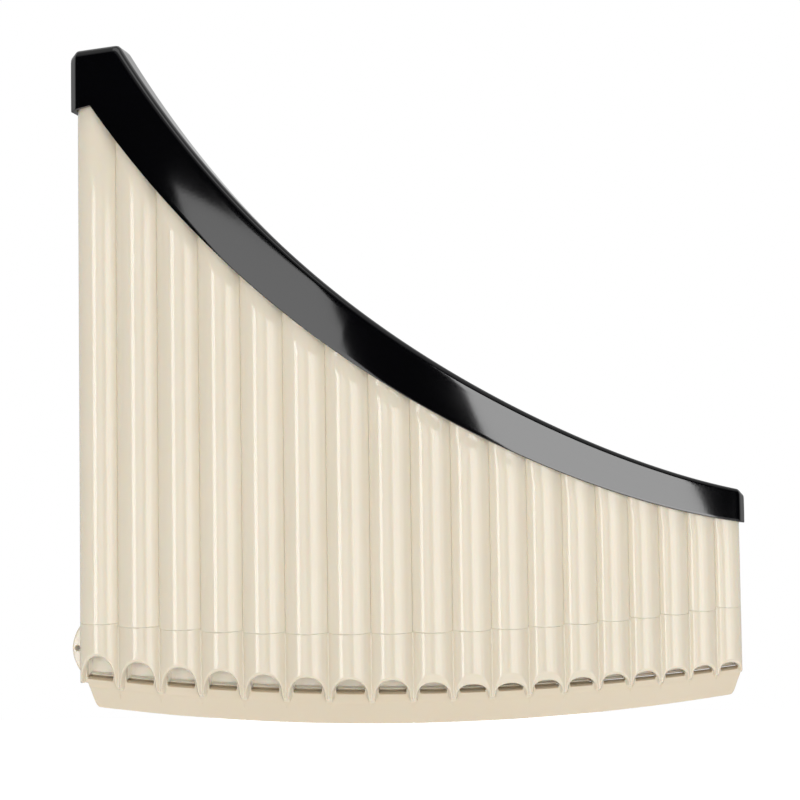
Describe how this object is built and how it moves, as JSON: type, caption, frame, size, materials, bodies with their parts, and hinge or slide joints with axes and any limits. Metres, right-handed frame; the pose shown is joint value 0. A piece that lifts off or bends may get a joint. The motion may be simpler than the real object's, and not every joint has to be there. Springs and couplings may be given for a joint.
{
  "type": "pan flute",
  "caption": "Plastic pan flute: a curved row of graded ribbed pipes on a moulded mouthpiece with arched windows, capped by a glossy black end rail.",
  "frame": {"origin": "below the middle of the flute's box, at the height of the mouth edge's lowest point", "axes": "+Z from the mouth edge to the closed ends, -Y the way the windows and ribs face, -X towards the longest pipe"},
  "size_m": [0.2732, 0.0302, 0.2751],
  "materials": {
    "pipe": "glossy moulded ivory",
    "mouthpiece": "glossy moulded ivory",
    "windway": "satin moulded ivory",
    "rail": "high-gloss black",
    "plug": "matte ivory"
  },
  "bodies": {
    "root": {"pipe_01": "pipe", "pipe_02": "pipe", "pipe_03": "pipe", "pipe_04": "pipe", "pipe_05": "pipe", "pipe_06": "pipe", "pipe_07": "pipe", "pipe_08": "pipe", "pipe_09": "pipe", "pipe_10": "pipe", "pipe_11": "pipe", "pipe_12": "pipe", "pipe_13": "pipe", "pipe_14": "pipe", "pipe_15": "pipe", "pipe_16": "pipe", "pipe_17": "pipe", "pipe_18": "pipe", "tuning_plug_01": "plug", "tuning_plug_02": "plug", "tuning_plug_03": "plug", "tuning_plug_04": "plug", "tuning_plug_05": "plug", "tuning_plug_06": "plug", "tuning_plug_07": "plug", "tuning_plug_08": "plug", "tuning_plug_09": "plug", "tuning_plug_10": "plug", "tuning_plug_11": "plug", "tuning_plug_12": "plug", "tuning_plug_13": "plug", "tuning_plug_14": "plug", "tuning_plug_15": "plug", "tuning_plug_16": "plug", "tuning_plug_17": "plug", "tuning_plug_18": "plug", "mouthpiece_body": "mouthpiece", "windway_plate": "windway", "end_rail": "rail"}
  },
  "joints": []
}
